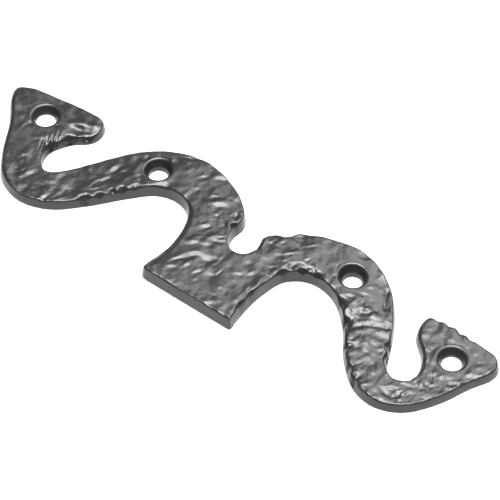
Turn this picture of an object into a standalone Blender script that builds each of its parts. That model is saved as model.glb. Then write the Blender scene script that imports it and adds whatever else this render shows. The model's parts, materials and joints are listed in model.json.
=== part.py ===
# Hinge front plate: one flat casting with a straight-edged tab between two arms that end in
# cock's-head terminals. It lies face up on its back, with its length along X and the tab's straight
# edge facing -Y. Distances are in metres.

import math

import bmesh
import bpy
import numpy as np

MM = 0.001

MIDDLE_THICKNESS = 4.2 * MM
HEAD_THICKNESS = 2.8 * MM
TAPER_START = 25 * MM  # distance from the centre line where the plate begins to thin
TAPER_END = 60 * MM  # and where it reaches the heads' thickness

WALL_DRAFT = 0.45 * MM  # how far the walls lean in from the back to the front
EDGE_ROUNDING = 0.6 * MM
ROUNDING_STEPS = 2
FACET_LENGTH = 1.6 * MM  # along the outline

SINK_RADIUS = 4.25 * MM
BORE_RADIUS = 2.9 * MM
SINK_SLOPE = math.tan(math.radians(30))  # half of the 60 degree countersink
HOLE_FACETS = 28
CUTTER_OVERLAP = 1 * MM

# Centres of the screw holes in the outline's own millimetres.
SCREW_HOLES = [(-76.0, 29.6), (-35.2, 32.6), (34.3, 34.6), (73.6, 28.0)]

# The outline of the back in millimetres, anticlockwise from the right end of the tab's straight
# edge to its left end. Zero is the middle of that edge. A smooth curve runs through the points of
# every stretch in turn, and the straight edge closes it.
RIGHT_BAY = [(16.1, 0), (15.7, 4), (15.5, 9.5), (15.9, 15.4), (18.3, 23.5), (24.5, 27.5),
             (32.6, 26.6), (40.4, 20.8), (48.4, 10.6)]
RIGHT_LOOP = [(56.4, 4.1), (64.4, 2.7), (72.4, 6.3), (78.7, 14.9), (82.7, 24.3)]
RIGHT_HEAD = [(85.6, 29.7), (86, 33.1), (83.7, 36.3), (75.7, 37.5), (64, 38), (59.4, 36.6),
              (58.9, 33.6), (60.4, 29.2), (65.9, 23.9)]
RIGHT_ARM = [(68.2, 18.4), (67.2, 14.6), (64, 13.1), (60.9, 14.6), (56.4, 23.2), (52.4, 30.3),
             (44.8, 39)]
RIGHT_HUMP = [(32.3, 44.2), (20, 41.9), (14, 39.2), (11.1, 37.8), (9.9, 35), (8, 34.5),
              (5.8, 32.8)]
NOTCH = [(4.6, 30.7), (5.6, 26.2), (3.9, 22.6), (1.2, 21.7), (-1.6, 23.1), (-3.4, 27), (-3, 32),
         (-5.4, 36)]
LEFT_HUMP = [(-13.3, 41.2), (-25.6, 43.9), (-36, 41.4), (-44.7, 35.4)]
LEFT_ARM = [(-53.3, 24), (-58.9, 16), (-62.4, 13.3), (-66, 15.9), (-67, 20.6)]
LEFT_HEAD = [(-63.6, 27.1), (-59.4, 31), (-58.5, 35), (-60.4, 38.6), (-66.3, 39.2), (-78.3, 37.9),
             (-87.5, 36.1), (-91, 33.7), (-90.1, 30.1), (-84, 21.8)]
LEFT_LOOP = [(-78, 11.1), (-71.5, 3.5), (-62.6, 0.8), (-53.6, 3.6)]
LEFT_BAY = [(-45.6, 10.9), (-37.6, 20.5), (-31.6, 26.5), (-25.6, 28.3), (-19.9, 26.5),
            (-16.6, 20.6), (-15.5, 12), (-16.9, 3), (-16.9, 1.2), (-15.5, 0)]
OUTLINE = (RIGHT_BAY + RIGHT_LOOP + RIGHT_HEAD + RIGHT_ARM + RIGHT_HUMP + NOTCH + LEFT_HUMP
           + LEFT_ARM + LEFT_HEAD + LEFT_LOOP + LEFT_BAY)


def clear_scene():
    for old_object in list(bpy.data.objects):
        bpy.data.objects.remove(old_object, do_unlink=True)


# A centripetal Catmull-Rom curve: between two neighbouring points it blends the straight lines
# through them, and its speed follows the square root of each gap, so it never loops.
def smooth_curve(points, facet):
    points = np.array(points)
    first = 2 * points[0] - points[1]
    last = 2 * points[-1] - points[-2]
    points = np.vstack([first, points, last])
    gaps = np.sqrt(np.linalg.norm(np.diff(points, axis=0), axis=1))
    stretches = []
    for index in range(1, len(points) - 2):
        before, start, end, after = points[index - 1:index + 3]
        gap_before, gap, gap_after = gaps[index - 1:index + 2]
        leave = gap * ((start - before) / gap_before - (end - before) / (gap_before + gap)) \
            + (end - start)
        arrive = gap * ((after - end) / gap_after - (after - start) / (gap + gap_after)) \
            + (end - start)
        count = max(1, round(float(np.linalg.norm(end - start)) / facet))
        t = np.arange(count)[:, None] / count
        stretches.append((2 * t**3 - 3 * t**2 + 1) * start + (t**3 - 2 * t**2 + t) * leave
                         + (3 * t**2 - 2 * t**3) * end + (t**3 - t**2) * arrive)
    return np.vstack(stretches + [points[-2]])


# Unit vectors that point into the metal from each outline point, lengthened at a corner so that an
# offset outline keeps its distance from both sides.
def inward_directions(outline):
    ahead = np.roll(outline, -1, axis=0) - outline
    ahead /= np.linalg.norm(ahead, axis=1)[:, None]
    sides = np.stack([-ahead[:, 1], ahead[:, 0]], axis=1)
    middle = sides + np.roll(sides, 1, axis=0)
    return 2 * middle / np.sum(middle**2, axis=1)[:, None]


# Distance in from the outline and height at each level of the wall: straight up with its draft,
# then a quarter turn on to the front.
def wall_levels():
    levels = [(0, 0)]
    for step in range(ROUNDING_STEPS + 1):
        angle = math.pi / 2 * step / ROUNDING_STEPS
        levels.append((WALL_DRAFT + EDGE_ROUNDING * (1 - math.cos(angle)),
                       MIDDLE_THICKNESS - EDGE_ROUNDING * (1 - math.sin(angle))))
    return levels


# The share of the middle thickness at a distance x from the centre line: all of it up to the
# taper, then falling evenly to the heads.
def thickness_share(x):
    run = (abs(x) - TAPER_START) / (TAPER_END - TAPER_START)
    head_share = HEAD_THICKNESS / MIDDLE_THICKNESS
    return 1 - (1 - head_share) * min(max(run, 0), 1)


def plate_mesh(outline, centre):
    inward = inward_directions(outline)
    mesh = bmesh.new()
    rings = []
    for inset, height in wall_levels():
        places = outline + inward * inset - centre
        rings.append([mesh.verts.new((x, y, height)) for x, y in places])
    for lower, upper in zip(rings, rings[1:]):
        for index in range(len(lower)):
            after = (index + 1) % len(lower)
            mesh.faces.new((lower[index], lower[after], upper[after], upper[index]))
    mesh.faces.new(rings[0][::-1])
    mesh.faces.new(rings[-1])
    for x in (-TAPER_END, -TAPER_START, TAPER_START, TAPER_END):
        everything = mesh.verts[:] + mesh.edges[:] + mesh.faces[:]
        bmesh.ops.bisect_plane(mesh, geom=everything, plane_co=(x - centre[0], 0, 0),
                               plane_no=(1, 0, 0))
    for vertex in mesh.verts:
        vertex.co.z *= thickness_share(vertex.co.x + centre[0])
    data = bpy.data.meshes.new("hinge_front_plate")
    mesh.to_mesh(data)
    mesh.free()
    return data


# One closed turned cutter: the bore from below the back up to the throat, then the countersink's
# cone, carried on past the front.
def add_hole_cutter(mesh, place, front):
    throat = front - (SINK_RADIUS - BORE_RADIUS) / SINK_SLOPE
    top = front + CUTTER_OVERLAP
    profile = [(BORE_RADIUS, -CUTTER_OVERLAP), (BORE_RADIUS, throat),
               (SINK_RADIUS + CUTTER_OVERLAP * SINK_SLOPE, top)]
    rings = []
    for radius, height in profile:
        angles = [math.tau * step / HOLE_FACETS for step in range(HOLE_FACETS)]
        rings.append([mesh.verts.new((place[0] + radius * math.cos(angle),
                                      place[1] + radius * math.sin(angle), height))
                      for angle in angles])
    for lower, upper in zip(rings, rings[1:]):
        for index in range(HOLE_FACETS):
            after = (index + 1) % HOLE_FACETS
            mesh.faces.new((lower[index], lower[after], upper[after], upper[index]))
    mesh.faces.new(rings[0][::-1])
    mesh.faces.new(rings[-1])


def screw_hole_cutters(centre):
    mesh = bmesh.new()
    for x, y in SCREW_HOLES:
        place = (x * MM - centre[0], y * MM - centre[1])
        add_hole_cutter(mesh, place, MIDDLE_THICKNESS * thickness_share(x * MM))
    data = bpy.data.meshes.new("screw_hole_cutters")
    mesh.to_mesh(data)
    mesh.free()
    cutters = bpy.data.objects.new("screw_hole_cutters", data)
    bpy.context.collection.objects.link(cutters)
    cutters.hide_render = True
    cutters.display_type = "WIRE"
    return cutters


def black_paint():
    material = bpy.data.materials.new("black_paint")
    material.use_nodes = True
    shader = material.node_tree.nodes["Principled BSDF"]
    shader.inputs["Base Color"].default_value = (0.018, 0.018, 0.018, 1)
    shader.inputs["Roughness"].default_value = 0.35
    shader.inputs["Metallic"].default_value = 0
    return material


def build():
    clear_scene()
    outline = smooth_curve(np.array(OUTLINE) * MM, FACET_LENGTH)
    centre = (outline.min(axis=0) + outline.max(axis=0)) / 2
    plate = bpy.data.objects.new("hinge_front_plate", plate_mesh(outline, centre))
    bpy.context.collection.objects.link(plate)
    plate.data.materials.append(black_paint())
    cut = plate.modifiers.new("screw_holes", "BOOLEAN")
    cut.operation = "DIFFERENCE"
    cut.solver = "EXACT"
    cut.object = screw_hole_cutters(centre)
    plate.data.shade_smooth()
    plate.data.set_sharp_from_angle(angle=math.radians(30))


build()
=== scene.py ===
import json
import math

import bpy
import numpy as np
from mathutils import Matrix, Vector


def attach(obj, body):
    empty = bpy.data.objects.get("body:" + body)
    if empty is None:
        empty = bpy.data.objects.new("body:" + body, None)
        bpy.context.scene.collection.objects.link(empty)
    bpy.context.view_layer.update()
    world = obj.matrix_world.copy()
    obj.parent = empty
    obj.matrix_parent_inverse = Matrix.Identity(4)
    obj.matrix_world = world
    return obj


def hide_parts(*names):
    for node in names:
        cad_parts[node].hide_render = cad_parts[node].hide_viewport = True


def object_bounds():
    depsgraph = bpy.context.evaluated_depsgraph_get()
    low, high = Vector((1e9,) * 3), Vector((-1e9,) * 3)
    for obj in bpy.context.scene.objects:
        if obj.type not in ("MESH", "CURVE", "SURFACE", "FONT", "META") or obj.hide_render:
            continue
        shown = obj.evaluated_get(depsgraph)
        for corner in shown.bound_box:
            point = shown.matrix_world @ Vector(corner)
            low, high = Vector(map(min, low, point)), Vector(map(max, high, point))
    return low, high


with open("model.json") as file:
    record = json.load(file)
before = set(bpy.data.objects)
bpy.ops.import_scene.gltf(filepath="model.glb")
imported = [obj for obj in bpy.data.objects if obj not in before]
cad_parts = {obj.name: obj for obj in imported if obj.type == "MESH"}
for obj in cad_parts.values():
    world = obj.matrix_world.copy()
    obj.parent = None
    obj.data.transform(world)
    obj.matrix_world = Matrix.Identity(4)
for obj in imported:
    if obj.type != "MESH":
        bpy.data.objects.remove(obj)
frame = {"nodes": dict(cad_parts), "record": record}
cadLow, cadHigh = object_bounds()
mm = 0.001
plateNode = "hinge_front_plate"
cadPlate = frame["nodes"][plateNode]
mounts = {mount["name"]: mount for mount in frame["record"]["mounts"]}
tabMiddle = np.array([mounts["back_face"]["pos_m"][0], cadLow.y])  # middle of the tab's straight edge
print("frame loaded:", [round(1000 * size, 1) for size in (cadHigh - cadLow)], "mm")

cameraSettings = {
    "azimuth": 36.95,  # degrees round from the front, towards +X
    "elevation": 51.35,
    "distance": 0.875,
    "lens": 216,
    "lookAt": (0.0055, 0.0048, 0),
}


def directionTo(azimuth, elevation):  # unit vector from the plate towards that azimuth and elevation
    a, e = math.radians(azimuth), math.radians(elevation)
    return Vector((math.sin(a) * math.cos(e), -math.cos(a) * math.cos(e), math.sin(e)))


def makeCamera(settings):  # it looks at its point from its direction and distance
    camera = bpy.data.objects.new("camera", bpy.data.cameras.new("camera"))
    bpy.context.scene.collection.objects.link(camera)
    back = directionTo(settings["azimuth"], settings["elevation"])
    camera.location = Vector(settings["lookAt"]) + back * settings["distance"]
    camera.rotation_euler = (-back).to_track_quat("-Z", "Y").to_euler()
    camera.data.lens = settings["lens"]
    bpy.context.scene.camera = camera


makeCamera(cameraSettings)
print("camera placed")


def meshPoints(mesh):  # every vertex of a mesh as a row of x, y, z
    points = np.empty(len(mesh.vertices) * 3)
    mesh.vertices.foreach_get("co", points)
    return points.reshape(-1, 3)


# The edges of the flat back, walked round into closed loops, longest first. Points are merged when
# they round to the same place on a fine grid, and a triangle is on the back if its corners are level
# with it to within a few steps of that grid.
def backLoops(mesh, grid=1e-7, levelSteps=10):
    mesh.calc_loop_triangles()
    corners = np.empty(len(mesh.loop_triangles) * 3, int)
    mesh.loop_triangles.foreach_get("vertices", corners)
    keys, merged = np.unique(np.round(meshPoints(mesh) / grid).astype(int), axis=0, return_inverse=True)
    places = keys[:, :2] * grid
    triangles = merged.reshape(-1)[corners].reshape(-1, 3)
    flat = triangles[(np.abs(keys[triangles, 2]) < levelSteps).all(axis=1)]
    edges = np.vstack([flat[:, [0, 1]], flat[:, [1, 2]], flat[:, [2, 0]]])
    known = set(map(tuple, edges))
    following = {a: b for a, b in known if (b, a) not in known}  # an open edge has no twin
    loops = []
    while following:
        loop = [next(iter(following))]
        while loop[-1] in following:
            loop.append(following.pop(loop[-1]))
        loops.append(places[loop[1:]][::-1])  # the back faces down, so this turns it anticlockwise
    return sorted(loops, key=len, reverse=True)


outlineLoop, *holeLoops = backLoops(cadPlate.data)
holeLoops.sort(key=lambda loop: loop[:, 0].mean())
print("outline read:", len(outlineLoop), "points,", len(holeLoops), "screw holes")

plateShape = {
    "taperStart": 25 * mm,  # distances from the middle between which the plate thins
    "taperEnd": 60 * mm,
    "wallDraft": 0.45 * mm,  # how far the walls lean in
    "edgeRounding": 0.6 * mm,
    "backRounding": 0.15 * mm,
    "rowLength": 0.38 * mm,
    "columns": 60,
    "leastShare": 0.3,  # no hollow is deeper than this leaves
    "leastRounding": 0.1 * mm,
    "endReach": 0.06,  # share of the ribbon that bends to meet the heads' flat ends
    "outlineSpacing": 0.1 * mm,
    "softeningSteps": 9,
    "longestCurved": 10 * mm,  # a side of the outline that is longer stays straight
    "sharpAngle": 55,  # degrees between faces, past which their edge is shaded sharp
}

# Where the rulings across the plate start and end, as (lower x, y, upper x, y) in millimetres from
# the middle of the tab's straight edge. They run from the left head to the right head.
rulings = [
    (-90.7, 33.0, -59.2, 37.2), (-88.4, 28.2, -58.6, 33.4), (-84.2, 22.8, -61.4, 29.2),
    (-80.4, 16.4, -65.4, 24.6), (-77.0, 10.6, -67.1, 19.6), (-71.2, 3.9, -66.0, 15.9),
    (-62.6, 1.0, -62.4, 13.2), (-53.6, 3.7, -58.6, 15.3), (-45.6, 10.9, -52.2, 23.1),
    (-37.6, 20.5, -45.2, 33.6), (-31.6, 26.5, -35.8, 41.3), (-25.6, 28.3, -25.4, 43.9),
    (-19.9, 26.5, -15.0, 42.0), (-16.6, 20.6, -7.0, 37.4), (-15.5, 12.0, -3.4, 32.6),
    (-16.7, 3.0, -3.5, 27.6), (-15.6, 0.1, -2.7, 24.8), (-6.0, 0.0, -0.4, 22.2),
    (5.0, 0.0, 2.4, 21.8), (16.1, 0.0, 5.0, 24.2), (15.5, 9.5, 5.3, 28.2), (16.0, 16.0, 6.2, 33.2),
    (18.3, 23.5, 11.6, 37.6), (24.5, 27.5, 22.0, 42.5), (32.6, 26.6, 34.6, 43.9),
    (40.4, 20.8, 47.0, 36.9), (48.4, 10.6, 55.6, 24.8), (56.4, 4.1, 60.9, 14.6),
    (64.4, 2.8, 64.2, 13.1), (72.2, 6.6, 67.9, 16.2), (78.4, 15.1, 67.6, 20.8),
    (80.8, 20.8, 64.4, 25.6), (82.4, 25.0, 60.8, 28.8), (84.9, 29.4, 59.0, 32.4),
    (85.7, 32.2, 59.3, 35.8),
]


def arcLengths(points):  # distance walked along a line of points
    steps = np.linalg.norm(np.diff(points, axis=0), axis=1)
    return np.concatenate([[0], np.cumsum(steps)])


# A closed Catmull-Rom curve through the loop. From each point to the next it is a cubic that leaves
# and arrives along half the line between the neighbours on either side. A long side stays straight,
# and so do the ends that meet it.
def smoothLoop(loop, spacing):
    before, after, beyond = (np.roll(loop, shift, axis=0) for shift in (1, -1, -2))
    lengths = np.linalg.norm(after - loop, axis=1)
    longSide = (lengths > plateShape["longestCurved"])[:, None]
    leave = np.where(longSide | np.roll(longSide, 1, axis=0), after - loop, (after - before) / 2)
    arrive = np.where(longSide | np.roll(longSide, -1, axis=0), after - loop, (beyond - loop) / 2)
    counts = np.maximum(2, np.ceil(lengths / spacing)).astype(int)
    side = np.repeat(np.arange(len(loop)), counts)
    firstOfSide = np.repeat(np.cumsum(counts) - counts, counts)
    t = ((np.arange(len(side)) - firstOfSide) * (1 / counts[side]))[:, None]
    return ((2 * t**3 - 3 * t**2 + 1) * loop[side] + (t**3 - 2 * t**2 + t) * leave[side]
            + (3 * t**2 - 2 * t**3) * after[side] + (t**3 - t**2) * arrive[side])


def chainBetween(curve, startPlace, endPlace):  # the part of a closed curve from one place to another
    start = np.argmin(np.linalg.norm(curve - startPlace, axis=1))
    end = np.argmin(np.linalg.norm(curve - endPlace, axis=1))
    return np.roll(curve, -start, axis=0)[:(end - start) % len(curve) + 1]


def stopsAlong(chain, places):  # how far along a chain it passes nearest to each place
    nearest = np.argmin(np.linalg.norm(chain[None] - places[:, None], axis=2), axis=1)
    return arcLengths(chain)[nearest]


# Points along a chain that keep pace with the rulings: each ruling's place becomes a distance
# along the chain, and the rows between two rulings are spread evenly over it.
def chainAtRows(chain, places, rowCounts):
    walked = arcLengths(chain)
    stops = stopsAlong(chain, places)
    stops[0], stops[-1] = 0, walked[-1]
    shares = [index + np.arange(count) / count for index, count in enumerate(rowCounts)]
    shares = np.append(np.concatenate(shares), len(rowCounts))
    along = np.interp(shares, np.arange(len(stops)), stops)
    return np.stack([np.interp(along, walked, chain[:, axis]) for axis in (0, 1)], axis=1)


def softened(loop, steps):  # each point becomes the mean of its neighbours on both sides
    return np.mean([np.roll(loop, step, axis=0) for step in range(-steps, steps + 1)], axis=0)


curvedOutline = smoothLoop(outlineLoop, plateShape["outlineSpacing"])
fineOutline = softened(curvedOutline, plateShape["softeningSteps"])
lowerPlaces = np.array([ruling[:2] for ruling in rulings]) * mm + tabMiddle
upperPlaces = np.array([ruling[2:] for ruling in rulings]) * mm + tabMiddle
lowerChain = chainBetween(fineOutline, lowerPlaces[0], lowerPlaces[-1])
rightChain = chainBetween(fineOutline, lowerPlaces[-1], upperPlaces[-1])
upperChain = chainBetween(fineOutline, upperPlaces[-1], upperPlaces[0])[::-1]
leftChain = chainBetween(fineOutline, upperPlaces[0], lowerPlaces[0])[::-1]

lowerSteps = np.diff(stopsAlong(lowerChain, lowerPlaces))
upperSteps = np.diff(stopsAlong(upperChain, upperPlaces))
ribbonSteps = np.maximum(lowerSteps, upperSteps)
rowCounts = np.maximum(2, np.round(ribbonSteps / plateShape["rowLength"])).astype(int)
rows, columns = int(rowCounts.sum()) + 1, plateShape["columns"]
evenColumns = np.linspace(0, 1, columns)


def evenlyAlong(chain, shares):  # points at shares of a chain's length
    walked = arcLengths(chain) / arcLengths(chain)[-1]
    return np.stack([np.interp(shares, walked, chain[:, axis]) for axis in (0, 1)], axis=1)


lowerLine = chainAtRows(lowerChain, lowerPlaces, rowCounts)
upperLine = chainAtRows(upperChain, upperPlaces, rowCounts)
rightLine = evenlyAlong(rightChain, evenColumns)
leftLine = evenlyAlong(leftChain, evenColumns)
rim = np.vstack([lowerLine, rightLine[1:-1], upperLine[::-1], leftLine[::-1][1:-1]])  # once round
print("ribbon laid out:", rows, "rows by", columns, "columns")


def inwardDirections(loop):  # unit vectors into the metal, lengthened at corners to keep the offset
    ahead = np.roll(loop, -1, axis=0) - loop
    ahead /= np.linalg.norm(ahead, axis=1)[:, None]
    sides = np.stack([-ahead[:, 1], ahead[:, 0]], axis=1)
    middle = sides + np.roll(sides, 1, axis=0)
    return 2 * middle / np.sum(middle**2, axis=1)[:, None]


# A ruled sheet: each row is the straight line between its lower and upper point. Near the two ends
# the rows bend so that the first and last follow the heads' flat ends.
def ruledSheet(lower, upper, leftEnd, rightEnd):
    across = evenColumns[None, :, None]
    sheet = lower[:, None] * (1 - across) + upper[:, None] * across
    along = np.linspace(0, 1, len(lower))[:, None, None]
    nearLeft = np.clip(1 - along / plateShape["endReach"], 0, 1)**2
    nearRight = np.clip(1 - (1 - along) / plateShape["endReach"], 0, 1)**2
    return sheet + nearLeft * (leftEnd - sheet[0]) + nearRight * (rightEnd - sheet[-1])


middleThickness = cadHigh.z
cadPoints = meshPoints(cadPlate.data)
inHeads = np.abs(cadPoints[:, 0] - tabMiddle[0]) > plateShape["taperEnd"] + 2 * mm
headThickness = cadPoints[inHeads, 2].max()


def thicknessAt(x):  # full thickness at the middle, easing down to the heads' thickness
    start, end = plateShape["taperStart"], plateShape["taperEnd"]
    run = np.clip((np.abs(x - tabMiddle[0]) - start) / (end - start), 0, 1)
    return middleThickness - (middleThickness - headThickness) * run * run * (3 - 2 * run)


# The beaten surface. Everything from here to faceHeight is in millimetres from the middle of the
# tab's straight edge.
beatenFace = {
    "seed": 41,
    "waves": [(9.0, 0.4), (4.6, 0.28), (2.4, 0.15), (1.2, 0.06)],  # size and height
    "raised": 0.15,  # makes up for the hollows
    "scallopSize": 3.4,
    "scallopDepth": 0.18,
    "scallopMean": 0.25,  # taken off, so that the scallops rise as much as they fall
    "scallopCentres": (0.1, 0.9),  # where in its square a scallop's centre may be
    "dents": 220,
    "dentRadius": (0.5, 1.3),
    "dentDepth": (0.03, 0.14),
    "dentNarrowing": 1.6,  # a dent is this much narrower one way
    "dentedX": (-92, 88),
    "dentedY": (0, 45),
}

# How strongly each area was beaten: x, y, reach, strength added to one.
beatenAreas = [
    (50.0, 22.0, 15, 0.4), (-78.0, 20.0, 14, -0.55), (-38.0, 30.0, 9, -0.3), (-2.0, 12.0, 18, -0.45),
    (-20.0, 38.0, 10, -0.3), (24.0, 36.0, 13, -0.35),
]

# Slopes that a hammer left: x, y, half length, half width, and in degrees the heading that the slope
# faces and its tilt.
hammerSlopes = {
    "leftHead": [
        (-78.7, 22.6, 0.7, 0.4, -10, 14), (-62.6, 33, 2.6, 1.2, -68, 18),
        (-66.2, 31.8, 1.4, 0.9, -65, 15), (-64.3, 32.4, 1.4, 0.8, -65, 13),
        (-60.6, 34.6, 0.7, 0.6, -30, 13), (-69.2, 22.8, 2.2, 1.1, -40, 11),
    ],
    "leftArm": [
        (-65.5, 9, 1.6, 0.6, -22, 19), (-58.6, 9.8, 1.7, 0.8, -40, 12),
        (-57.2, 13.8, 1, 0.6, -25, 13), (-56.4, 4.1, 1.1, 0.5, -15, 15),
        (-53.6, 7.6, 1.3, 0.4, -10, 13), (-51.3, 7.1, 1.5, 0.5, -35, 12),
        (-46.1, 25.1, 1.1, 0.6, -10, 17), (-43.3, 25.9, 0.5, 0.3, -25, 12),
        (-46.1, 20.5, 1.1, 0.5, -25, 17), (-47.5, 17.9, 1.2, 0.3, -5, 14),
        (-38.6, 27.5, 0.3, 0.3, -55, 15), (-41.1, 33.7, 0.3, 0.4, -55, 13),
        (-40, 32.5, 0.3, 0.3, -40, 15), (-45.3, 16.5, 0.5, 0.4, -25, 13),
        (-46.9, 12.7, 0.5, 0.4, -25, 12), (-33.8, 37.1, 0.6, 0.5, -45, 14),
    ],
    "leftHump": [
        (-30.7, 41.6, 1.2, 0.5, -70, 17), (-22.7, 38, 1.1, 0.5, -35, 15),
        (-17.8, 40.9, 1.2, 0.6, -60, 20), (-21.3, 33.3, 0.5, 0.5, -40, 13),
        (-22.2, 30.4, 0.8, 0.4, -10, 12), (-15.8, 33.6, 0.5, 0.5, -40, 14),
        (-14.7, 34.5, 0.6, 0.4, -55, 15), (-12.1, 32.6, 1.3, 0.8, -55, 22),
        (-10.7, 28.7, 0.5, 0.5, -55, 15), (-9.4, 36.6, 0.6, 0.3, -105, 13),
        (-5.7, 33.2, 0.4, 0.6, -120, 16), (-5, 31.1, 0.3, 0.4, -120, 15),
        (-6, 27.5, 0.5, 0.6, -120, 15),
    ],
    "tab": [
        (-10.6, 23.6, 0.8, 0.5, -35, 19), (-9.9, 18.5, 0.9, 0.4, -45, 12),
        (-9.9, 16.6, 1.1, 0.7, -50, 17), (-6.3, 18.3, 0.8, 0.6, -55, 17), (-6.2, 21, 1, 0.7, -45, 20),
        (-4.8, 23, 0.7, 0.3, -55, 19), (-3.9, 21.7, 0.9, 0.4, -60, 19),
        (-9.9, 9.4, 1.1, 0.4, -40, 17), (-8.5, 11.5, 0.8, 0.6, -40, 18),
        (-7.2, 13.5, 1.1, 0.7, -60, 20), (-2.2, 15.1, 1.5, 0.7, -55, 16),
        (-9.6, 5.8, 1, 0.4, -55, 13), (-6.5, 8.3, 0.8, 0.5, -20, 12), (-9.5, 2.6, 0.4, 0.3, -55, 12),
        (0.2, 14.1, 0.7, 0.4, -20, 12), (-2.5, 8.7, 0.9, 0.4, -25, 16),
        (-1.1, 5.9, 0.3, 0.4, -55, 15), (2.2, 10.9, 0.4, 0.3, -65, 16), (2.9, 12.4, 0.8, 0.3, -5, 14),
        (6.6, 7.8, 0.4, 0.4, -55, 14), (6.2, 11.2, 0.3, 0.3, -55, 11), (7.7, 15.1, 0.7, 0.4, -55, 17),
        (3.8, 1.9, 0.5, 0.3, -55, 12), (6.9, 1.5, 0.6, 0.4, -40, 12), (11, 2.1, 0.5, 0.3, -35, 11),
        (13.7, 1.1, 1, 0.3, -95, 18), (13.4, 6.7, 0.9, 0.7, -45, 15), (13.2, 9.4, 0.6, 0.4, 5, 15),
        (0.3, 16.6, 0.5, 0.4, -5, 11), (10.9, 18, 0.7, 0.5, -35, 17), (14.9, 16.7, 1, 0.6, 10, 17),
        (13.8, 23.1, 1.2, 0.4, -55, 11), (13.5, 19.9, 0.4, 0.5, -90, 12),
        (13.4, 11, 0.9, 0.3, 10, 17), (13, 12.7, 0.5, 0.3, -35, 14),
    ],
    "rightHump": [
        (15.6, 14.9, 0.3, 0.6, -120, 13), (15.1, 20, 0.8, 0.4, -80, 16),
        (16.3, 22.2, 0.8, 0.6, -40, 17), (10.8, 32, 0.7, 0.4, -20, 17),
        (10.1, 30.1, 0.7, 0.4, -85, 18), (8.3, 30.3, 0.4, 0.4, -80, 16),
        (15.2, 29.9, 1.2, 0.4, -45, 15), (16.1, 31.6, 0.3, 0.3, -55, 12),
        (15.6, 27, 0.4, 0.3, -55, 14), (17.8, 27.5, 1.1, 0.5, -40, 19), (17.6, 26.1, 0.4, 0.5, 5, 15),
        (19.9, 26, 0.6, 0.6, -135, 18), (21.1, 25.9, 0.6, 0.3, -55, 17),
        (20, 29.5, 0.6, 0.3, -65, 14), (21.7, 29.5, 0.7, 0.3, -85, 15),
        (23.9, 30.1, 0.7, 0.4, -90, 18), (24.9, 29.2, 0.3, 0.5, -135, 16),
        (20.4, 31.2, 0.6, 0.3, -30, 11), (18.6, 36.1, 1, 0.4, -45, 14), (13.3, 37, 1, 0.4, -40, 14),
        (21, 39.9, 0.5, 0.3, -40, 11), (16.9, 34.5, 0.2, 0.3, -55, 12),
        (31.2, 32.8, 0.3, 0.8, -120, 18), (33, 33, 0.4, 0.3, -90, 12),
    ],
    "rightArm": [
        (41.3, 34.4, 0.7, 0.4, -55, 14), (40.3, 31.3, 0.9, 0.5, -70, 16), (38, 28.5, 1, 0.4, -70, 14),
        (40.8, 27.6, 1, 0.5, -30, 16), (41.8, 35.6, 0.5, 0.3, -55, 12),
        (44.4, 23.9, 0.9, 0.5, -60, 18), (44, 26.6, 0.5, 0.7, -120, 13),
        (45.6, 27.8, 0.5, 0.7, 10, 13), (49.0, 26.4, 2.4, 0.9, -62, 12),
        (43.0, 25.5, 1.5, 0.9, -45, 7), (52.5, 27.4, 0.9, 0.3, -85, 9),
        (43.2, 22.3, 0.3, 0.6, -130, 12), (50.7, 30.7, 0.3, 0.4, 20, 16),
        (49.1, 32, 0.3, 0.4, -130, 14), (49.4, 22.3, 0.9, 0.4, -55, 15),
        (52, 22.8, 0.4, 0.5, -55, 13), (46.4, 16.6, 0.6, 0.5, -20, 16), (47, 14.6, 0.3, 0.6, 25, 14),
        (55.6, 18.1, 0.7, 0.6, -55, 16), (50.9, 12.6, 1, 0.7, -55, 15),
        (55.2, 7.6, 0.7, 0.5, -40, 17), (55.1, 6, 0.3, 0.5, -55, 15),
    ],
    "rightLoop": [
        (65.2, 9, 1.3, 0.4, -55, 17), (69.1, 9.1, 0.3, 0.9, -120, 18),
        (58.3, 4.4, 0.4, 0.5, -120, 16), (59.2, 5.5, 0.4, 0.3, -55, 14),
        (61.9, 3.7, 0.4, 0.4, -55, 14), (69.7, 10.9, 0.9, 0.6, -55, 13),
        (70.2, 13.4, 1, 0.5, -70, 15), (71.1, 15, 0.6, 0.6, -110, 15),
        (73.4, 16.4, 0.3, 0.7, -135, 14), (70.1, 7.2, 0.3, 0.5, -55, 13),
        (72.4, 14.8, 0.6, 0.5, -90, 12), (78.6, 18.6, 0.6, 0.6, -30, 17),
    ],
    "rightHead": [
        (79.6, 22, 0.35, 0.8, -120, 21), (78.6, 20.8, 0.35, 0.7, -120, 19),
        (80.5, 22, 0.7, 0.3, -30, 16), (75.9, 21.1, 1.4, 0.5, -55, 12), (72.9, 20.5, 1, 0.5, -35, 11),
        (82, 26.6, 1, 0.5, -60, 14), (84.2, 29.4, 1.6, 0.3, -25, 14), (80.6, 31.4, 0.5, 0.4, -55, 17),
        (68.4, 23.1, 0.5, 0.3, 0, 11), (66.3, 26, 0.5, 0.4, -55, 11), (62.7, 32.6, 0.3, 0.3, -55, 11),
    ],
}
slopeChanges = {
    "spread": 1.25,  # all the sizes above are multiplied by this
    "steeper": 1.1,  # and every tilt by this
    "plainHeading": -53,
    "turnedGain": 0.45,  # added to the tilt's factor for a quarter turn from the plain heading
}

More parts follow.
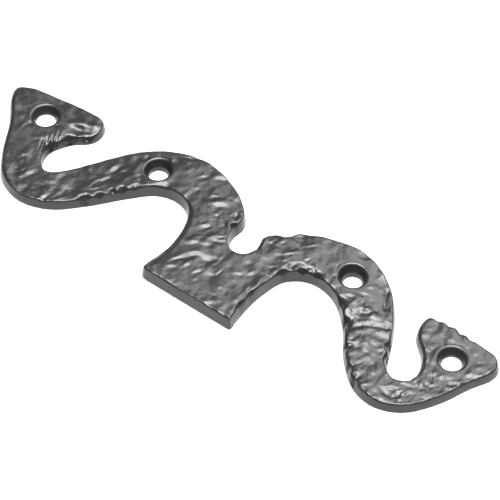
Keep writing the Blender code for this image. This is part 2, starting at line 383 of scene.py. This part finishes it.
# Hollows struck or filed into the face and its edges: x, y, half length, half width, angle, depth.
hollows = [
    (-5.9, 31.6, 0.7, 0.6, 0, 0.45), (-9.0, 36.3, 1.6, 1.0, 60, 0.12),
    (43.6, 19.6, 4.6, 1.6, -56, 0.3), (66.0, 6.9, 1.7, 0.5, -7, 0.28),
    (52.9, 10.0, 1.4, 0.3, 60, 0.25), (55.9, 6.1, 1.2, 0.5, 60, 0.4), (47.9, 14.4, 1.3, 0.7, 20, 0.4),
    (45.8, 21.2, 1.8, 0.7, 50, 0.4), (49.9, 24.3, 2.2, 0.6, 29, 0.35),
    (52.8, 25.6, 1.3, 0.5, 24, 0.3), (50.0, 20.8, 1.6, 0.8, 20, 0.3),
    (47.6, 31.9, 1.4, 0.45, -62, 0.35), (45.7, 35.1, 1.6, 0.45, -66, 0.35),
    (29.4, 33.8, 1.2, 0.35, -50, 0.25), (73.2, 18.1, 1.8, 0.3, -58, 0.2),
    (69.2, 30.4, 1.0, 0.4, -50, 0.2), (-77.6, 24.6, 0.7, 0.5, 0, 0.25),
    (-40.9, 34.4, 0.6, 0.5, 0, 0.25), (67.5, 35.0, 1.5, 0.9, -50, 0.12),
    (71.1, 36.4, 1.6, 0.9, -50, 0.15), (63.8, 35.2, 1.0, 0.6, -50, 0.15),
    (-2.6, 13.4, 1.6, 1.6, 0, 0.3), (1.9, 10.4, 1.6, 1.5, 0, 0.3),
]

# Places where the edge was struck off at a slant: x, y, reach, width, steepness.
edgeChips = [
    (-46.2, 11.2, 2.0, 0.7, 0.9), (-43.6, 15.0, 1.4, 0.6, 0.9), (-41.4, 18.4, 1.5, 0.7, 0.9),
    (-39.4, 20.6, 1.6, 0.5, 1.0), (-36.5, 23.4, 2.0, 0.0, 0.7), (-29.5, 28.3, 4.0, 0.0, 0.5),
    (-67.6, 21.0, 3.0, 0.9, 0.6), (-64.4, 26.8, 2.3, 1.0, 0.75), (-60.8, 30.4, 2.0, 0.0, 0.8),
    (17.6, 23.6, 1.6, 0.5, 0.9), (21.4, 27.6, 1.6, 0.5, 0.9), (25.6, 29.2, 2.4, 0.3, 0.9),
    (38.0, 25.6, 2.6, 0.7, 1.0), (42.6, 20.6, 2.4, 1.1, 0.9), (47.4, 13.6, 1.6, 0.3, 0.9),
    (52.0, 8.2, 1.6, 0.2, 0.9), (56.0, 4.9, 1.5, 0.5, 0.9), (56.6, 21.0, 1.8, 0.7, 1.0),
    (58.8, 17.0, 2.0, 0.4, 1.0), (62.5, 37.4, 1.2, 0.1, 0.8), (66.3, 37.7, 1.2, 0.2, 0.8),
    (70.2, 37.6, 1.3, 0.3, 0.8), (73.8, 37.4, 1.0, 0.1, 0.8), (-4.6, 28.8, 1.2, 0.6, 1.0),
    (11.0, 37.2, 1.2, 0.3, 1.0), (15.6, 11.0, 2.4, 0.6, 1.0), (15.8, 6.4, 2.4, 0.4, 1.0),
]
chipShape = {
    "rounding": 0.16,  # how softly a chip's slope starts
    "apronReach": 1.4,  # the gentler slope above each chip
    "apronSlope": 0.37,
    "apronRounding": 0.3,
    "jagSize": 1.7,  # the chips' ragged edge
    "jagStrength": 0.8,
    "jagSeed": 61,
}

leftRoll = {  # how an edge that faces -X rolls over
    "width": 0.9,
    "depth": 0.45,
    "widthAdded": 1.8,
    "depthAdded": 0.4,
    "addedAt": (-16, 12, 13),  # x, y and reach of the tab's left side
    "sideways": 1.5,  # a higher power keeps the roll to edges that face -X squarely
    "leastWidth": 0.01,
}

fileMarks = {  # a row of strokes filed across the edge inside the left head
    "middle": (-68.7, 23.0),
    "angle": 114,  # the direction of the strokes
    "skew": 1.06,  # how far the row of strokes leans from square
    "halfLength": 1.5,
    "halfSpan": 2.3,
    "spacing": 1.45,
    "depth": 0.17,
}
calmAroundHoles = (4.4, 2.6)  # radius inside which there is no beating, and how far it takes to return

latticeCells = 64  # each way, before the noise repeats
latticeShift = 500  # keeps the cell numbers above nothing


# Gradient noise: every corner of a square lattice has its own slope, and the four planes round a
# point are blended with an S curve.
def gradientNoise(x, y, size, seed):
    random = np.random.default_rng(seed)
    angles = random.uniform(0, math.tau, (latticeCells, latticeCells))
    turn = random.uniform(0, math.tau)
    u = (x * math.cos(turn) - y * math.sin(turn)) / size + latticeShift
    v = (x * math.sin(turn) + y * math.cos(turn)) / size + latticeShift
    cellU, cellV = np.floor(u).astype(int), np.floor(v).astype(int)
    u, v = u - cellU, v - cellV
    total = 0
    for cornerU in (0, 1):
        for cornerV in (0, 1):
            angle = angles[(cellU + cornerU) % latticeCells, (cellV + cornerV) % latticeCells]
            plane = np.cos(angle) * (u - cornerU) + np.sin(angle) * (v - cornerV)
            total = total + plane * sCurve(1 - np.abs(u - cornerU)) * sCurve(1 - np.abs(v - cornerV))
    return total


# Scalloped noise: each square of a lattice has one centre at a random place, and the value is the
# squared distance to the nearest centre, so shallow bowls meet in ridges.
def scallops(x, y, size, seed):
    random = np.random.default_rng(seed)
    centres = random.uniform(*beatenFace["scallopCentres"], (2, latticeCells, latticeCells))
    u, v = x / size + latticeShift, y / size + latticeShift
    cellU, cellV = np.floor(u).astype(int), np.floor(v).astype(int)
    nearest = np.full(np.shape(x), np.inf)
    for stepU in (-1, 0, 1):
        for stepV in (-1, 0, 1):
            cell = (cellU + stepU) % latticeCells, (cellV + stepV) % latticeCells
            centreU = cellU + stepU + centres[0][cell]
            centreV = cellV + stepV + centres[1][cell]
            nearest = np.minimum(nearest, (u - centreU)**2 + (v - centreV)**2)
    return nearest


def sCurve(t):  # zero to one, level at both ends
    return t**3 * (t * (6 * t - 15) + 10)


def turned(x, y, middleX, middleY, degrees):  # distances along and across a direction
    angle = math.radians(degrees)
    dx, dy = x - middleX, y - middleY
    return dx * math.cos(angle) + dy * math.sin(angle), dy * math.cos(angle) - dx * math.sin(angle)


def bell(along, across):  # one at the middle, falling to nothing
    return np.exp(-(along**2 + across**2) / 2)


def nearness(x, y, middleX, middleY, reach):  # a round bell about a place
    return np.exp(-((x - middleX)**2 + (y - middleY)**2) / reach**2)


def softRamp(t, rounding):  # zero below nothing and t above it, with a rounded corner
    return rounding * np.logaddexp(0, t / rounding)


# Distance from each point to the nearest side of the outline, and how far that side faces -X,
# blended from one side to the next so that it changes smoothly along the edge.
def rimDistance(x, y):
    start = (outlineLoop - tabMiddle) / mm
    side = np.roll(start, -1, axis=0) - start
    facing = -side[:, 1] / np.linalg.norm(side, axis=1)
    before, after = (facing + np.roll(facing, 1)) / 2, (facing + np.roll(facing, -1)) / 2
    nearest = np.full(x.shape, np.inf)
    faces = np.zeros(x.shape)
    for (startX, startY), (sideX, sideY), first, last in zip(start, side, before, after):
        share = ((x - startX) * sideX + (y - startY) * sideY) / (sideX**2 + sideY**2)
        share = np.clip(share, 0, 1)
        gap = (x - startX - share * sideX)**2 + (y - startY - share * sideY)**2
        closer = gap < nearest
        nearest = np.where(closer, gap, nearest)
        faces = np.where(closer, first + share * (last - first), faces)
    return np.sqrt(nearest), np.clip(faces, 0, 1)


def noiseHeight(x, y):  # waves and scallops, as strong as each area was beaten, and calm at the holes
    seed = beatenFace["seed"]
    strength = 1
    for middleX, middleY, reach, added in beatenAreas:
        strength = strength + added * nearness(x, y, middleX, middleY, reach)
    bowls = scallops(x, y, beatenFace["scallopSize"], seed) - beatenFace["scallopMean"]
    height = beatenFace["scallopDepth"] * bowls
    for index, (size, rise) in enumerate(beatenFace["waves"]):
        height = height + rise * gradientNoise(x, y, size, seed + index)
    height = height * strength
    start, reach = calmAroundHoles
    for loop in holeLoops:
        holeX, holeY = (loop.mean(axis=0) - tabMiddle) / mm
        away = np.clip((np.hypot(x - holeX, y - holeY) - start) / reach, 0, 1)
        height = height * sCurve(away)
    return height


def withDents(height, x, y):  # random dents, each a bell
    random = np.random.default_rng(beatenFace["seed"])
    for _ in range(beatenFace["dents"]):
        middleX, middleY = random.uniform(*beatenFace["dentedX"]), random.uniform(*beatenFace["dentedY"])
        radius = random.uniform(*beatenFace["dentRadius"])
        along, across = turned(x, y, middleX, middleY, random.uniform(0, 180))
        depth = random.uniform(*beatenFace["dentDepth"])
        height = height - depth * bell(along / radius, across / radius * beatenFace["dentNarrowing"])
    return height


def withSlopes(height, x, y):  # the hammer slopes, each a bell times the distance along its heading
    spread = slopeChanges["spread"]
    for middleX, middleY, halfLength, halfWidth, heading, tilt in sum(hammerSlopes.values(), []):
        along, across = turned(x, y, middleX, middleY, heading)
        away = math.radians(heading - slopeChanges["plainHeading"])
        steeper = slopeChanges["steeper"] + slopeChanges["turnedGain"] * (1 - math.cos(away))
        rise = math.tan(math.radians(tilt * steeper)) * along
        height = height - rise * bell(along / (halfWidth * spread), across / (halfLength * spread))
    return height


def withHollows(height, x, y):  # each a bell turned to its angle
    for middleX, middleY, halfLength, halfWidth, angle, depth in hollows:
        along, across = turned(x, y, middleX, middleY, angle)
        height = height - depth * bell(along / halfLength, across / halfWidth)
    return height


def withChips(height, x, y, distance):  # each falls away towards the edge, below its apron
    jags = gradientNoise(x, y, chipShape["jagSize"], chipShape["jagSeed"])
    jagged = 1 + chipShape["jagStrength"] * jags
    for middleX, middleY, reach, width, steepness in edgeChips:
        near = nearness(x, y, middleX, middleY, reach)
        over = width * near * jagged - distance
        height = height - steepness * near * softRamp(over, chipShape["rounding"])
        apron = softRamp(over + chipShape["apronReach"] * near, chipShape["apronRounding"])
        height = height - chipShape["apronSlope"] * near * apron
    return height


def withFileMarks(height, x, y):  # a sine across the strokes, under a bell
    along, across = turned(x, y, *fileMarks["middle"], fileMarks["angle"])
    along = along + across * fileMarks["skew"]
    filed = bell(along / fileMarks["halfLength"], (across / fileMarks["halfSpan"])**2)
    return height + fileMarks["depth"] * np.sin(math.tau * across / fileMarks["spacing"]) * filed


def withRoll(height, x, y, distance, leftFacing):  # a cubic fall over the roll's width
    added = nearness(x, y, *leftRoll["addedAt"])
    roll = leftFacing**leftRoll["sideways"]
    width = (leftRoll["width"] + leftRoll["widthAdded"] * added) * roll + leftRoll["leastWidth"]
    depth = (leftRoll["depth"] + leftRoll["depthAdded"] * added) * roll
    return height - depth * np.clip(1 - np.maximum(distance, 0) / width, 0, 1)**3


def reliefAt(x, y, distance, leftFacing):  # height of the beaten face above or below the plain one
    height = noiseHeight(x, y)
    height = withDents(height, x, y)
    height = withSlopes(height, x, y)
    height = withHollows(height, x, y)
    height = withChips(height, x, y, distance)
    height = withFileMarks(height, x, y) + beatenFace["raised"]
    return withRoll(height, x, y, distance, leftFacing)


def faceHeight(places):  # height of the beaten front over places on the back, in metres
    x, y = (places - tabMiddle)[..., 0] / mm, (places - tabMiddle)[..., 1] / mm
    distance, leftFacing = rimDistance(x, y)
    distance = distance - (plateShape["wallDraft"] + plateShape["edgeRounding"]) / mm
    full = thicknessAt(places[..., 0])
    lowered = full + reliefAt(x, y, distance, leftFacing) * mm
    least = full * plateShape["leastShare"]
    return least + softRamp(lowered - least, plateShape["leastRounding"])


wallSteps = {
    "backTurn": [(0.9, 0), (0.25, 0.35), (0.1, 1)],  # shares of the back's rounding, inwards and up
    "straight": (0.3, 0.62),  # shares of the draft, and of the height
    "frontTurn": (0, 22, 45, 68),  # degrees of the quarter turn on to the front
}


# The levels of the wall: distance in from the outline, share of the local height, and metres
# above or below that share.
def wallLevels():
    draft, rounding, back = (plateShape[name] for name in ("wallDraft", "edgeRounding", "backRounding"))
    levels = [(back * inwards, 0, back * up) for inwards, up in wallSteps["backTurn"]]
    levels += [(draft * share, share, 0) for share in wallSteps["straight"]]
    for degrees in wallSteps["frontTurn"]:
        angle = math.radians(degrees)
        levels.append((draft + rounding * (1 - math.cos(angle)), 1, -rounding * (1 - math.sin(angle))))
    return levels


def meshObject(name, points, faces):  # a new object in the scene, from points and faces
    mesh = bpy.data.meshes.new(name)
    mesh.from_pydata(points, [], faces)
    mesh.validate()
    made = bpy.data.objects.new(name, mesh)
    bpy.context.scene.collection.objects.link(made)
    return made


def quadsBetween(lower, upper):  # quads between two rings of point numbers
    return np.stack([lower, np.roll(lower, -1), np.roll(upper, -1), upper], axis=1)


# One closed mesh: the beaten sheet, then the wall's rings from the back up to the sheet's own rim,
# and the back as one face.
def makePlate():
    inward = inwardDirections(rim)
    topInset = plateShape["wallDraft"] + plateShape["edgeRounding"]
    topRim = rim + inward * topInset
    rightFirst, upperFirst, leftFirst = rows, rows + columns - 2, 2 * rows + columns - 2
    lower, upper = topRim[:rows], topRim[upperFirst:leftFirst][::-1]
    rightEnd = np.vstack([lower[-1], topRim[rightFirst:upperFirst], upper[-1]])
    leftEnd = np.vstack([upper[0], topRim[leftFirst:], lower[0]])[::-1]
    sheet = ruledSheet(lower, upper, leftEnd, rightEnd)
    sheetPoints = np.dstack([sheet, faceHeight(sheet)]).reshape(-1, 3)
    rings = []
    for inset, share, offset in wallLevels():
        ring = rim + inward * inset
        reference = ring if share == 1 else rim + inward * plateShape["wallDraft"]
        rings.append(np.column_stack([ring, faceHeight(reference) * share + offset]))
    count = len(rim)
    number = np.arange(rows * columns).reshape(rows, columns)
    sheetRim = np.concatenate([number[:, 0], number[-1, 1:-1], number[::-1, -1], number[0, -2:0:-1]])
    sheetQuads = np.stack([number[:-1, :-1], number[1:, :-1], number[1:, 1:], number[:-1, 1:]], axis=-1)
    quads = [sheetQuads.reshape(-1, 4)]
    ringNumbers = [rows * columns + level * count + np.arange(count) for level in range(len(rings))]
    for under, over in zip(ringNumbers, ringNumbers[1:] + [sheetRim]):
        quads.append(quadsBetween(under, over))
    faces = np.vstack(quads).tolist() + [ringNumbers[0][::-1].tolist()]
    return meshObject("beatenPlate", np.vstack([sheetPoints] + rings), faces)


holeShape = {
    "sinkRadius": 4.25 * mm,
    "sinkAngle": 30,  # degrees between the countersink and its axis
    "lipRadius": 1.2 * mm,  # the countersink's rim is rolled over with this radius
    "lipTilt": 33,  # degrees that the lip still slopes where the sink's radius is measured
    "lipSteps": 16,
    "lipRise": 0.01 * mm,  # how far the lip's end stands above the plain thickness
    "throatRing": (0.08 * mm, 0.14 * mm),  # out and up from the throat, close above it on the cone
    "flare": 0.2 * mm,  # how far the cutter opens over the plate
    "facets": 96,
    "overlap": 1.5 * mm,
}


# A turned cutter whose upper end follows the plate's thickness: the bore, the countersink, and a
# lip that turns from the countersink's slope to level. Each ring is a circle of the profile's
# radius, at the profile's height over the plate's thickness there, and the lowest is level.
def holeCutter(middle, boreRadius):
    steep, lip = 90 - holeShape["sinkAngle"], holeShape["lipRadius"]
    steepSine, tiltSine = (math.sin(math.radians(degrees)) for degrees in (steep, holeShape["lipTilt"]))
    lipStart = holeShape["sinkRadius"] - lip * (steepSine - tiltSine)
    lipDepth = lip * (1 - math.cos(math.radians(steep)))
    throat = -lipDepth - (lipStart - boreRadius) / math.tan(math.radians(holeShape["sinkAngle"]))
    out, up = holeShape["throatRing"]
    profile = [(boreRadius, 0), (boreRadius, throat), (boreRadius + out, throat + up)]
    for degrees in np.linspace(steep, 0, holeShape["lipSteps"]):
        tilt = math.radians(degrees)
        across = lipStart + lip * (steepSine - math.sin(tilt))
        profile.append((across, holeShape["lipRise"] - lip * (1 - math.cos(tilt))))
    profile.append((profile[-1][0] + holeShape["flare"], holeShape["overlap"]))
    radii, heights = np.array(profile).T[:, :, None]
    angles = np.linspace(0, math.tau, holeShape["facets"], endpoint=False)
    x = middle[0] + radii * np.cos(angles)
    y = middle[1] + radii * np.sin(angles)
    z = thicknessAt(x) + heights
    z[0] = -holeShape["overlap"]
    numbers = np.arange(x.size).reshape(x.shape)
    quads = [quadsBetween(under, over) for under, over in zip(numbers, numbers[1:])]
    faces = np.vstack(quads).tolist() + [numbers[0][::-1].tolist(), numbers[-1].tolist()]
    return meshObject("holeCutter", np.dstack([x, y, z]).reshape(-1, 3), faces)


def cutHoles(plate):  # one after another, each taken away from the mesh for good
    for loop in holeLoops:
        middle = (loop.min(axis=0) + loop.max(axis=0)) / 2
        boreRadius = float(np.linalg.norm(loop - middle, axis=1).mean())
        cutter = holeCutter(middle, boreRadius)
        cut = plate.modifiers.new("hole", "BOOLEAN")
        cut.operation = "DIFFERENCE"
        cut.solver = "EXACT"
        cut.object = cutter
        evaluated = plate.evaluated_get(bpy.context.evaluated_depsgraph_get())
        done = bpy.data.meshes.new_from_object(evaluated)
        plate.modifiers.clear()
        plate.data = done
        bpy.data.objects.remove(cutter)
    plate.data.name = "beatenPlate"


plate = makePlate()
print("plate made:", len(plate.data.polygons), "faces")
cutHoles(plate)
plate.data.shade_smooth()
plate.data.set_sharp_from_angle(angle=math.radians(plateShape["sharpAngle"]))
print("holes cut:", len(plate.data.polygons), "faces")

paintFinish = {
    "colour": (0.011, 0.011, 0.0115, 1),
    "dusty": (0.018, 0.018, 0.017, 1),
    "roughness": (0.24, 0.38),
    "cloudScale": 160,
    "cloudDetail": 4,
    "cloudRange": (0.3, 0.7),  # the part of the cloud noise that the roughness is spread over
    "grains": [(1400, 0.055), (380, 0.17)],  # scale and height in mm of the sand-cast grain
    "grainDetail": 3,
    "grainStrength": 0.6,
}


def addNode(tree, kind, **settings):  # a new shader node with these settings
    node = tree.nodes.new(kind)
    for name, value in settings.items():
        setattr(node, name, value)
    return node


# Black paint that is duller and dustier in clouds, over the casting's grain.
def makePaint():
    material = bpy.data.materials.new("blackPaint")
    material.use_nodes = True
    tree = material.node_tree
    shader = tree.nodes["Principled BSDF"]
    place = addNode(tree, "ShaderNodeTexCoord").outputs["Object"]
    cloud = addNode(tree, "ShaderNodeTexNoise")
    cloud.inputs["Scale"].default_value = paintFinish["cloudScale"]
    cloud.inputs["Detail"].default_value = paintFinish["cloudDetail"]
    tree.links.new(place, cloud.inputs["Vector"])
    colour = addNode(tree, "ShaderNodeMix", data_type="RGBA")
    colour.inputs["A"].default_value = paintFinish["colour"]
    colour.inputs["B"].default_value = paintFinish["dusty"]
    tree.links.new(cloud.outputs["Fac"], colour.inputs["Factor"])
    tree.links.new(colour.outputs["Result"], shader.inputs["Base Color"])
    rough = addNode(tree, "ShaderNodeMapRange")
    ends = paintFinish["cloudRange"] + paintFinish["roughness"]
    for name, value in zip(("From Min", "From Max", "To Min", "To Max"), ends):
        rough.inputs[name].default_value = value
    tree.links.new(cloud.outputs["Fac"], rough.inputs["Value"])
    tree.links.new(rough.outputs["Result"], shader.inputs["Roughness"])
    bump = None
    for scale, height in paintFinish["grains"]:
        grain = addNode(tree, "ShaderNodeTexNoise")
        grain.inputs["Scale"].default_value = scale
        grain.inputs["Detail"].default_value = paintFinish["grainDetail"]
        tree.links.new(place, grain.inputs["Vector"])
        over = addNode(tree, "ShaderNodeBump")
        over.inputs["Strength"].default_value = paintFinish["grainStrength"]
        over.inputs["Distance"].default_value = height * mm
        tree.links.new(grain.outputs["Fac"], over.inputs["Height"])
        if bump:
            tree.links.new(bump.outputs["Normal"], over.inputs["Normal"])
        bump = over
    tree.links.new(bump.outputs["Normal"], shader.inputs["Normal"])
    return material


plate.data.materials.clear()
plate.data.materials.append(makePaint())
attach(plate, "root")
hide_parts(plateNode)
print("paint laid on")

studio = {
    "floorSize": 30.0,
    "floorLevel": -0.2 * mm,  # just under the back
    "floorColour": (0.76, 0.765, 0.72, 1),
    "floorRoughness": 0.9,
    "lampColour": (0.985, 0.993, 1),
    "worldLight": 0.16,
}

# Softboxes: azimuth and elevation as seen from the plate, distance, size and brightness.
softboxes = {
    "overheadSoftbox": (210, 86, 1.2, (0.76, 0.72), 21),
    "wideOverhead": (172, 73, 1.3, (1.4, 1.3), 0.4),
    "farSoftbox": (175, 50, 1.7, (1.6, 0.8), 5.2),
}


def makeFloor():  # one wide sheet of paper under the plate
    half = studio["floorSize"] / 2
    corners = [(-half, -half), (half, -half), (half, half), (-half, half)]
    floor = meshObject("floor", [(x, y, studio["floorLevel"]) for x, y in corners], [(0, 1, 2, 3)])
    material = bpy.data.materials.new("floorPaper")
    material.use_nodes = True
    shader = material.node_tree.nodes["Principled BSDF"]
    shader.inputs["Base Color"].default_value = studio["floorColour"]
    shader.inputs["Roughness"].default_value = studio["floorRoughness"]
    floor.data.materials.append(material)


def makeSoftbox(name, azimuth, elevation, distance, size, brightness):  # it faces the plate
    light = bpy.data.lights.new(name, "AREA")
    light.shape = "RECTANGLE"
    light.size, light.size_y = size
    light.color = studio["lampColour"]
    light.energy = brightness * math.pi * size[0] * size[1]
    lamp = bpy.data.objects.new(name, light)
    bpy.context.scene.collection.objects.link(lamp)
    towards = directionTo(azimuth, elevation)
    lamp.location = towards * distance
    lamp.rotation_euler = (-towards).to_track_quat("-Z", "Y").to_euler()


makeFloor()
world = bpy.data.worlds.new("studio")
bpy.context.scene.world = world
world.use_nodes = True
background = world.node_tree.nodes["Background"]
background.inputs["Color"].default_value = (1, 1, 1, 1)
background.inputs["Strength"].default_value = studio["worldLight"]
for boxName, boxValues in softboxes.items():
    makeSoftbox(boxName, *boxValues)
bpy.context.scene.view_settings.view_transform = "Standard"
print("studio lit")
